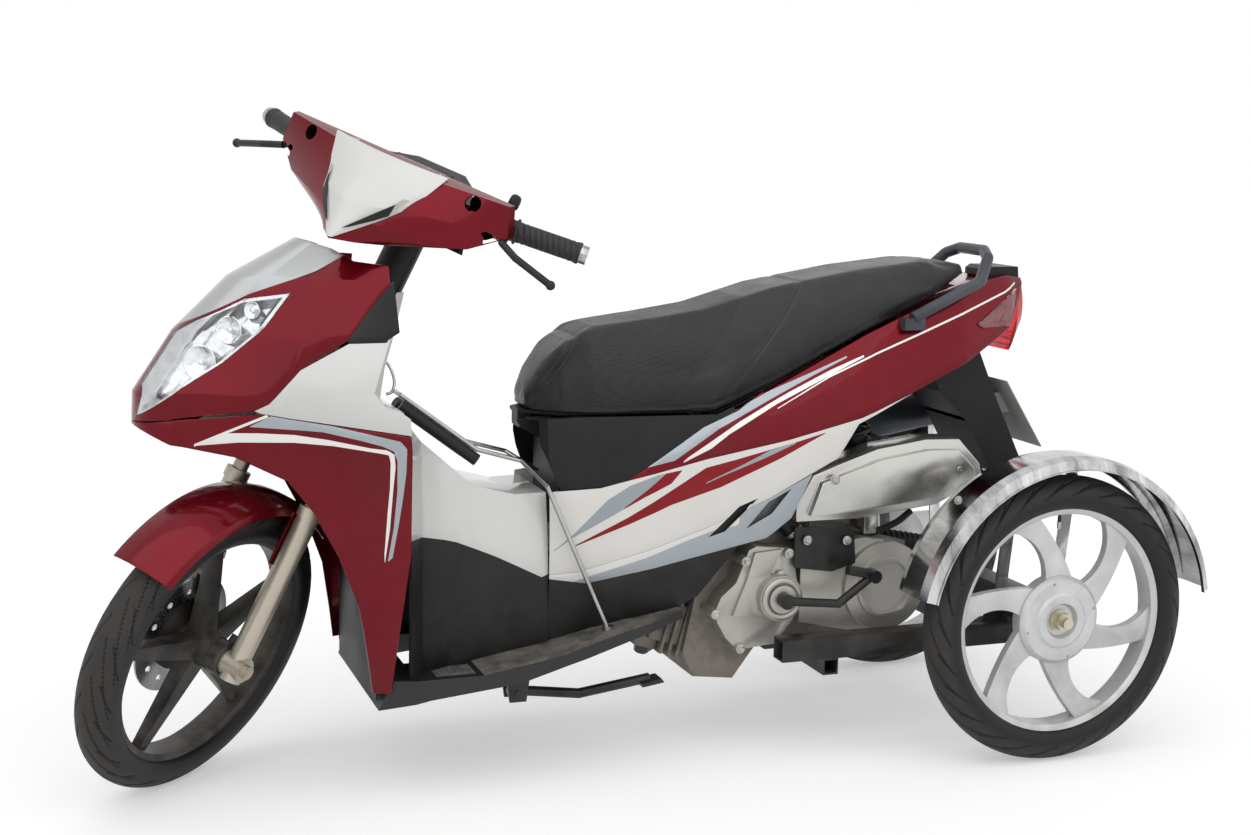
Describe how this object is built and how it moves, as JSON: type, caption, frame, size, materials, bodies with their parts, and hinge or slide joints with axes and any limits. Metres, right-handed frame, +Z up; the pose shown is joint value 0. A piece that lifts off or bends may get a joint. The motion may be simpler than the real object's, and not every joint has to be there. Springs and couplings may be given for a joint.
{
  "type": "motorized trike",
  "caption": "Step-through scooter converted to a trike with a bolt-on two-wheel rear axle, parked with its bars turned left.",
  "frame": {"origin": "on the floor under the middle of the trike", "axes": "+X forward, +Y to the rider's left, +Z up"},
  "size_m": [2.0125, 0.754, 1.159],
  "materials": {
    "black_paint": "satin black paint",
    "red_paint": "deep crimson metallic paint under clear coat",
    "white_paint": "pearl white paint",
    "silver_paint": "light silver paint",
    "clear_lens": "clear lens",
    "white_lens": "frosted signal lens",
    "tail_red": "red lens",
    "bright_reflector": "bright reflector",
    "black_plastic": "grained black moulding",
    "plate_metal": "blank plate",
    "cast_metal": "cast and painted silver",
    "polished_cover": "polished",
    "black_steel": "gloss black paint on welded steel",
    "zinc": "zinc plated, lightly rusted",
    "chrome": "bright chrome",
    "seat_cover": "black vinyl, grained",
    "fork_silver": "champagne silver",
    "grip_rubber": "ribbed rubber",
    "tyre": "road tyre rubber",
    "disc_steel": "brake disc steel",
    "wheel_silver": "painted cast wheel"
  },
  "bodies": {
    "chassis": {"air_box": "polished_cover", "belt_cover": "cast_metal", "carrier_rack": "zinc", "crank_cover": "cast_metal", "engine_block": "cast_metal", "engine_bracket": "black_steel", "exhaust": "black_paint", "floorboard": "black_plastic", "front_shield": "red_paint", "glove_pockets": "black_plastic", "grab_rail": "black_paint", "headlight_bowls": "bright_reflector", "headlight_lenses": "clear_lens", "inner_liner": "black_plastic", "kick_lever": "black_steel", "kit_frame": "black_steel", "leg_cover": "white_paint", "lower_sides": "black_plastic", "main_frame": "black_paint", "nose_cowl": "red_paint", "nose_panel": "silver_paint", "number_plate": "plate_metal", "rack_pads": "black_plastic", "rear_axle": "zinc", "rear_fenders": "chrome", "rear_mudguard": "black_plastic", "seat_skirt": "black_plastic", "shock_absorber": "black_paint", "side_covers": "white_paint", "side_fins": "silver_paint", "stand_bracket": "black_steel", "storage_tub": "black_plastic", "tail_cover": "red_paint", "tail_lamps": "white_lens", "tail_light": "tail_red", "tail_trim": "black_plastic", "tunnel_sides": "black_plastic"},
    "steering": {"fork_stem": "black_paint", "fork_legs": "fork_silver", "speedometer_drive": "black_plastic", "front_fender": "red_paint", "brake_caliper": "black_paint", "handlebar": "black_paint", "grips": "grip_rubber", "levers": "cast_metal", "bar_cover": "red_paint", "visor": "white_paint", "rear_cover": "red_paint"},
    "front_wheel": {"front_rim": "black_paint", "front_tyre": "tyre", "front_disc": "disc_steel"},
    "rear_wheel_left": {"rear_rim_left": "wheel_silver", "rear_tyre_left": "tyre"},
    "rear_wheel_right": {"rear_rim_right": "wheel_silver", "rear_tyre_right": "tyre"},
    "seat": {"seat_pan": "black_plastic", "seat_cushion": "seat_cover"},
    "side_stand": {"side_stand": "black_steel"}
  },
  "joints": [
    {"name": "steering_turn", "type": "hinge", "parent": "chassis", "child": "steering", "pos_m": [0.52796, 0, 0.74821], "axis": [-0.4462, 0, 0.8949], "range_deg": [-91, 0]},
    {"name": "front_wheel_spin", "type": "hinge", "parent": "steering", "child": "front_wheel", "pos_m": [0.79719, 0.02082, 0.25409], "axis": [-0.6383, 0.7009, -0.3183], "continuous": true},
    {"name": "rear_wheel_left_spin", "type": "hinge", "parent": "chassis", "child": "rear_wheel_left", "pos_m": [-0.7, 0.315, 0.266], "axis": [0, 1, 0], "continuous": true},
    {"name": "rear_wheel_right_spin", "type": "hinge", "parent": "chassis", "child": "rear_wheel_right", "pos_m": [-0.7, -0.315, 0.266], "axis": [0, 1, 0], "continuous": true},
    {"name": "seat_lid", "type": "hinge", "parent": "chassis", "child": "seat", "pos_m": [0.226, 0, 0.616], "axis": [0, 1, 0], "range_deg": [0, 70]},
    {"name": "side_stand_fold", "type": "hinge", "parent": "chassis", "child": "side_stand", "pos_m": [0.265, 0.112, 0.152], "axis": [0, -1, 0], "range_deg": [0, 28]}
  ]
}
